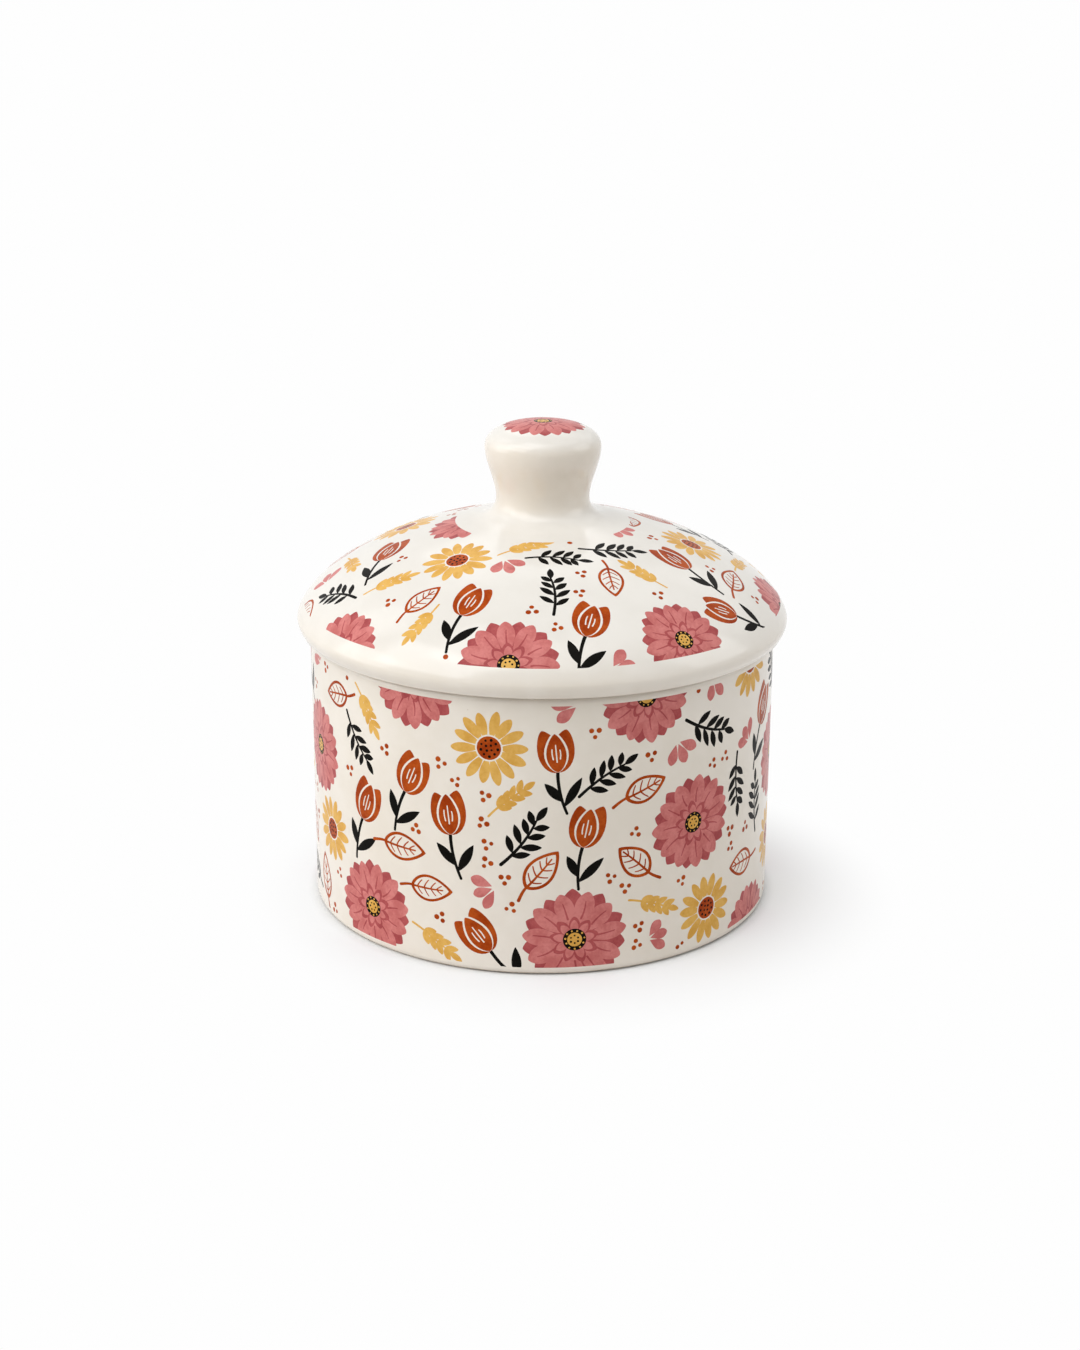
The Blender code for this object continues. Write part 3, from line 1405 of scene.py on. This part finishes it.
@dataclass
class Lid:
    """The domed lid: printed dome, rolled rim, flat seat and the flange that drops into the mouth."""

    wall: float = 0.0050
    crown_rise: float = 0.0281
    crown_fall: float = 0.205
    dome_reach: float = 0.0339
    dome_shoulder: float = 0.00335
    landing_radius: float = 0.0196
    landing_depth: float = 0.00053
    joint_radius: float = 0.01945
    rim_rise: float = 0.00335
    rim_tuck: float = 0.00105
    rim_edge_round: float = 0.0006
    soft_tuck: float = 2 / 3
    flange_depth: float = 0.0080
    flange_outer: float = 0.0540
    flange_wall: float = 0.0036
    flange_round: float = 0.0012
    flange_root: float = 0.0008
    hollow_ease: float = 0.0035
    hollow_stride: int = 5
    print_from: float = 0.0222
    print_to: float = 0.0616
    bare_edge: float = 0.30
    shell_steps: int = 200
    steps: int = 240
    transfer: Transfer = Transfer(
        (
            Sowing(Motif.DAHLIA, 7, 0.94, snug=False),
            Sowing(Motif.TULIP, 9, 0.92, 0.9),
            Sowing(Motif.SUN_DAISY, 8, 0.96),
            Sowing(Motif.LEAF_SPRIG, 6, 0.95),
            Sowing(Motif.VEINED_LEAF, 11, 0.95),
            Sowing(Motif.WHEAT_EAR, 9, 0.95),
            Sowing(Motif.DROP_TRIO, 14),
            Sowing(Motif.DOT_TRIO, 24),
        ),
        seed=43,
    )
    crown_cloth: Cloth = Cloth(0.0, 0.90, 1.0, 0.99)
    print_map: Triple = (0.29, 0.88, 0.075)
    rim_cloth: Cloth = Cloth(0.0, 0.01, 1.0, 0.275)
    radius: float = field(init=False)
    seat: float = field(init=False)

    def __post_init__(self) -> None:
        """Takes the outer radius and the seat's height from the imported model."""
        low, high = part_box("lid")
        self.radius = high.x
        self.seat = low.z + self.flange_depth

    def shell(self) -> list[Station]:
        """The lid's outside, from the edge of the knob's landing over the dome to the rim's widest line.

        Returns:
            The stations.
        """
        crown = self.seat + self.crown_rise
        rim = self.seat + self.rim_rise
        section = Section((self.landing_radius, crown))
        section.cubic(
            (self.landing_radius + self.dome_reach, crown - self.dome_reach * self.crown_fall),
            (self.radius, rim + self.dome_shoulder),
            (self.radius, rim),
            self.shell_steps,
        )
        return section.stations

    def crown(self, shell: Sequence[Station]) -> list[Station]:
        """From the middle of the sunk landing, up its edge to the print's inner edge.

        Args:
            shell: the lid's outside.

        Returns:
            The stations.
        """
        first = shell[0]
        top = first.height + (first.radius - self.joint_radius) * self.crown_fall
        sunk = first.height - self.landing_depth
        landing = Section((0.0, sunk)).line((self.joint_radius, sunk), 4)
        edge = Station(self.joint_radius, top, first.out, first.up, Ink.GLAZE)
        outside = [one for one in shell if one.radius <= self.print_from]
        return [*landing.stations, edge, *outside]

    def rim(self, shell: Sequence[Station]) -> Section:
        """From the print's outer edge round the rim, along the seat and round the flange.

        Args:
            shell: the lid's outside.

        Returns:
            The section, which ends at the flange's inner face.
        """
        seat, edge = self.seat, self.radius - self.rim_tuck
        low, soft = seat - self.flange_depth, self.flange_round
        inner = self.flange_outer - self.flange_wall
        section = Section((self.radius, seat + self.rim_rise))
        section.stations = [one for one in shell if one.radius > self.print_to]
        middle = (self.rim_rise + self.rim_edge_round) / 2
        section.round((self.radius, seat + middle), (edge, seat + self.rim_edge_round), 8, self.soft_tuck)
        section.round((edge, seat), (edge - self.rim_edge_round, seat), 6)
        section.ink = Ink.BISQUE
        section.line((self.flange_outer + self.flange_root, seat), 4)
        section.round((self.flange_outer, seat), (self.flange_outer, seat - self.flange_root), 6)
        section.ink = Ink.GLAZE
        section.line((self.flange_outer, low + soft), 4)
        section.round((self.flange_outer, low), (self.flange_outer - soft, low), 6)
        section.line((inner + soft, low))
        return section.round((inner, low), (inner, low + soft), 6)

    def hollow(self, rim: Section, shell: Sequence[Station]) -> list[Station]:
        """From the rim's end up inside the flange and under the dome to the middle.

        Args:
            rim: the section that ends at the flange's inner face.
            shell: the lid's outside.

        Returns:
            The stations, without the rim's last.
        """
        inner = rim.at[0]
        under = []
        for one in reversed(shell):
            radius, height = one.radius - self.wall * one.out, one.height - self.wall * one.up
            if radius < inner - self.hollow_ease:
                under.append(Station(radius, height, -one.out, -one.up, one.ink))
        start = under[0]
        corner = (inner, start.height - (inner - start.radius) * start.out / start.up)
        section = Section(rim.at)
        section.line((inner, corner[1] - self.hollow_ease), 5)
        section.round(corner, (start.radius, start.height), 8)
        section.stations += under[: 0 : -self.hollow_stride][::-1]
        section.at = (section.stations[-1].radius, section.stations[-1].height)
        return section.line((0.0, section.at[1]), 6).stations[1:]

    def build(self, kiln: Kiln) -> bpy.types.Object:
        """Builds and dresses the lid.

        Args:
            kiln: the finishes.

        Returns:
            The piece.
        """
        ware = Ware(self.steps)
        shell = self.shell()
        crown = self.crown(shell)
        inner = ware.strip(crown, self.crown_cloth)
        rim = self.rim(shell)
        dome = [one for one in shell if crown[-1].radius <= one.radius <= rim.stations[0].radius]
        stretch = Stretch(dome, self.bare_edge)
        patches = self.transfer.sow(stretch)
        edge = ware.sheet(stretch, patches, printed_cloths(*self.print_map), inner, dome[-1])
        rest = [*rim.stations, *self.hollow(rim, shell)]
        ware.strip(rest, self.rim_cloth, edge)
        piece = ware.fired("glazed_lid", kiln)
        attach(piece, "lid")
        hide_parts("lid")
        return piece


@dataclass
class Knob:
    """The knob: a flower on its cap, a flared neck, and a foot that runs out flush into the dome."""

    height: float = 0.02555
    radius: float = 0.01485
    cap_depth: float = 0.00635
    full_shoulder: float = 0.63
    waist_radius: float = 0.01195
    waist_height: float = 0.0061
    flare_ease: float = 0.0043
    waist_ease: float = 0.0042
    foot_edge: float = 0.000261
    foot_reach: float = 0.0030
    foot_fall: float = 0.205
    foot_radius: float = 0.01945
    print_to: float = 0.52
    bare_edge: float = 0.25
    flower_size: float = 0.86
    flower_turn: float = 0.35
    seed: int = 5
    steps: int = 144
    ink_width: float = 0.15
    ink_edge: float = 0.01
    cap_cloth: Cloth = Cloth(0.64, 0.01, 0.99, 0.36)
    side_cloth: Cloth = Cloth(0.0, 0.38, 1.0, 0.99)
    foot: float = field(init=False)

    def __post_init__(self) -> None:
        """Takes the foot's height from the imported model."""
        low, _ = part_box("knob")
        self.foot = low.z

    def cap(self, span: Point, count: int) -> list[Station]:
        """Stations over a part of the cap.

        Args:
            span: the part, from 0 at the middle to 1 at the widest line.
            count: steps along it.

        Returns:
            The stations.
        """
        top = self.foot + self.height
        full = self.full_shoulder
        widest = (self.radius, top - self.cap_depth)
        handles = (full * self.radius, top), (self.radius, top - (1 - full) * self.cap_depth)
        return Section((0.0, top)).cubic(*handles, widest, count, span).stations

    def side(self) -> list[Station]:
        """From the print's edge down the neck, out along the foot and under it.

        Returns:
            The stations.
        """
        waist = (self.waist_radius, self.foot + self.waist_height)
        brim = self.foot + self.foot_edge
        section = Section((self.radius, self.foot + self.height - self.cap_depth))
        section.stations = self.cap((self.print_to, 1.0), 12)
        below = (self.radius, section.at[1] - self.flare_ease)
        section.cubic(below, (waist[0], waist[1] + self.flare_ease), waist, 22)
        above_foot = (self.foot_radius - self.foot_reach, brim + self.foot_reach * self.foot_fall)
        section.cubic((waist[0], waist[1] - self.waist_ease), above_foot, (self.foot_radius, brim), 18)
        under = [Station(radius, self.foot, 0.0, -1.0, Ink.GLAZE) for radius in (self.foot_radius, 0.0)]
        return section.stations + under

    def build(self, kiln: Kiln) -> bpy.types.Object:
        """Builds and dresses the knob.

        Args:
            kiln: the finishes.

        Returns:
            The piece.
        """
        ware = Ware(self.steps)
        cap = self.cap((0.0, self.print_to), 60)
        stretch = Stretch(cap, self.bare_edge)
        drawn = PatternBook(self.seed).dahlia()
        patches = Transfer.printed(stretch, drawn, (0.0, 0.0, self.flower_turn, self.flower_size))
        inks = (Ink.ROSE, Ink.DEEP_ROSE, Ink.MUSTARD, Ink.BLACK)
        edge, width = self.ink_edge, self.ink_width
        cloths = {ink: Cloth(edge + n * width, edge, width + n * width, width) for n, ink in enumerate(inks)}
        cloths[Ink.GLAZE] = self.cap_cloth
        last = ware.sheet(stretch, patches, cloths, None, cap[-1])
        ware.strip(self.side(), self.side_cloth, last)
        piece = ware.fired("glazed_knob", kiln)
        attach(piece, "lid")
        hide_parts("knob")
        return piece


@dataclass(frozen=True)
class Softbox:
    """A soft lamp that faces the jar."""

    name: str
    place: Triple
    width: float
    height: float
    watts: float


@dataclass
class Studio:
    """The white table, the soft lamps and the camera."""

    lamps: tuple[Softbox, ...] = (
        Softbox("left_low", (-3.48, 0.00, 0.99), 2.2, 2.2, 25.3),
        Softbox("front_left", (-2.46, -1.42, 2.27), 3.0, 2.4, 55.5),
        Softbox("front_left_high", (-1.08, -1.08, 3.32), 2.2, 2.2, 28.3),
        Softbox("front_high", (0.00, -1.52, 3.32), 2.2, 2.2, 17.0),
        Softbox("right", (3.24, 0.00, 1.63), 2.2, 2.2, 24.5),
        Softbox("right_high", (1.52, 0.00, 3.32), 2.2, 2.2, 10.5),
        Softbox("back_right", (1.89, 1.89, 2.46), 2.2, 2.2, 7.8),
        Softbox("back", (-0.18, 2.58, 2.56), 1.8, 1.6, 6.4),
        Softbox("back_left", (-2.29, 1.22, 2.56), 1.1, 1.1, 3.8),
    )
    target: Triple = (0.0, 0.0, 0.055)
    ambient: float = 0.25
    floor_reach: float = 6.0
    floor_white: Colour = (0.797, 0.805, 0.809)
    floor_bounce: float = 0.73
    floor_glow: float = 0.25
    shadow_middle: Triple = (0.009, -0.006, 0.0)
    shadow_reach: Point = (0.040, 0.088)
    contact_reach: Point = (0.0590, 0.0630)
    white: Colour = (0.991, 0.991, 0.991)
    lens: float = 59.71
    sensor_width: float = 36.0
    camera_place: Triple = (-0.0005, -0.5579, 0.2404)
    camera_pitch: float = math.radians(18.12)
    camera_roll: float = math.radians(0.25)

    @staticmethod
    def seen(tree: Tree) -> Signal:
        """Tells what the camera sees by itself, in gloss or through glass.

        Args:
            tree: the tree that asks.

        Returns:
            1 where it is seen, and 0 where it only lights other things.
        """
        names = ("Is Camera Ray", "Is Glossy Ray", "Is Transmission Ray")
        camera, glossy, clear = (tree.node("ShaderNodeLightPath", output=name) for name in names)
        return camera.maths("MAXIMUM", camera, camera.maths("MAXIMUM", glossy, clear))

    def set_world(self) -> None:
        """Makes the surroundings white to the eye and soft as a light."""
        world = bpy.data.worlds.new("studio")
        bpy.context.scene.world = world
        tree = Tree(world)
        dim = tree.node("ShaderNodeBackground", None, {"Color": (1, 1, 1, 1), "Strength": self.ambient})
        white = tree.node("ShaderNodeBackground", None, {"Color": (*self.white, 1), "Strength": 1.0})
        mixed = tree.node("ShaderNodeMixShader", None, {0: self.seen(tree), 1: dim, 2: white})
        tree.node("ShaderNodeOutputWorld", None, {"Surface": mixed})

    def set_table(self) -> None:
        """Lays a white table that keeps the jar's shadow."""
        reach = self.floor_reach
        mesh = bpy.data.meshes.new("table")
        corners = [(-reach, -reach, 0), (reach, -reach, 0), (reach, reach, 0), (-reach, reach, 0)]
        mesh.from_pydata(corners, [], [(0, 1, 2, 3)])
        material = bpy.data.materials.new("white_table")
        tree = Tree(material)
        tone = tree.blend(self.seen(tree), (self.floor_bounce,) * 3, self.floor_white)
        paint = tree.node("ShaderNodeBsdfDiffuse", None, {"Color": tone})
        glow = tree.node("ShaderNodeEmission", None, {"Color": (*self.white, 1), "Strength": 1.0})
        ends = {0: tree.place(), 1: self.shadow_middle}
        away = tree.node("ShaderNodeVectorMath", {"operation": "DISTANCE"}, ends, "Value")
        share = away.step(*self.shadow_reach) * (1 - self.floor_glow) + self.floor_glow
        out = tree.node("ShaderNodeVectorMath", {"operation": "LENGTH"}, {0: tree.place()}, "Value")
        share = self.seen(tree) * share * out.step(*self.contact_reach)
        mixed = tree.node("ShaderNodeMixShader", None, {0: share, 1: paint, 2: glow})
        tree.node("ShaderNodeOutputMaterial", None, {"Surface": mixed})
        mesh.materials.append(material)
        table = bpy.data.objects.new("table", mesh)
        bpy.context.scene.collection.objects.link(table)

    def set_lamps(self) -> None:
        """Hangs the soft lamps."""
        for lamp in self.lamps:
            light = bpy.data.lights.new(lamp.name, "AREA")
            light.shape = "RECTANGLE"
            light.size, light.size_y = lamp.width, lamp.height
            light.energy = lamp.watts
            hung = bpy.data.objects.new(lamp.name, light)
            hung.location = lamp.place
            way = Vector(self.target) - Vector(lamp.place)
            hung.rotation_euler = way.to_track_quat("-Z", "Y").to_euler()
            bpy.context.scene.collection.objects.link(hung)

    def set_camera(self) -> None:
        """Puts the camera where the photograph's was."""
        pitch, roll = self.camera_pitch, self.camera_roll
        level, upright = Vector((1, 0, 0)), Vector((0, math.sin(pitch), math.cos(pitch)))
        right = level * math.cos(roll) + upright * math.sin(roll)
        up = upright * math.cos(roll) - level * math.sin(roll)
        turn = Matrix((right, up, right.cross(up))).transposed()
        data = bpy.data.cameras.new("camera")
        data.lens = self.lens
        data.sensor_width = self.sensor_width
        camera = bpy.data.objects.new("camera", data)
        camera.matrix_world = Matrix.Translation(self.camera_place) @ turn.to_4x4()
        bpy.context.scene.collection.objects.link(camera)
        bpy.context.scene.camera = camera

    def set_up(self) -> None:
        """Sets the studio up."""
        self.set_world()
        self.set_table()
        self.set_lamps()
        self.set_camera()
        bpy.context.scene.view_settings.view_transform = "Standard"


def main() -> None:
    """Builds the studio and the pieces, and logs each piece's faces and finishes."""
    logging.basicConfig(level=logging.INFO, format="%(message)s", stream=sys.stdout)
    Studio().set_up()
    kiln = Kiln()
    for maker in (JarBody(), Lid(), Knob()):
        piece = maker.build(kiln)
        mesh = piece.data
        LOG.info("%s: %d faces, %d finishes", piece.name, len(mesh.polygons), len(mesh.materials))


if __name__ == "__main__":
    main()
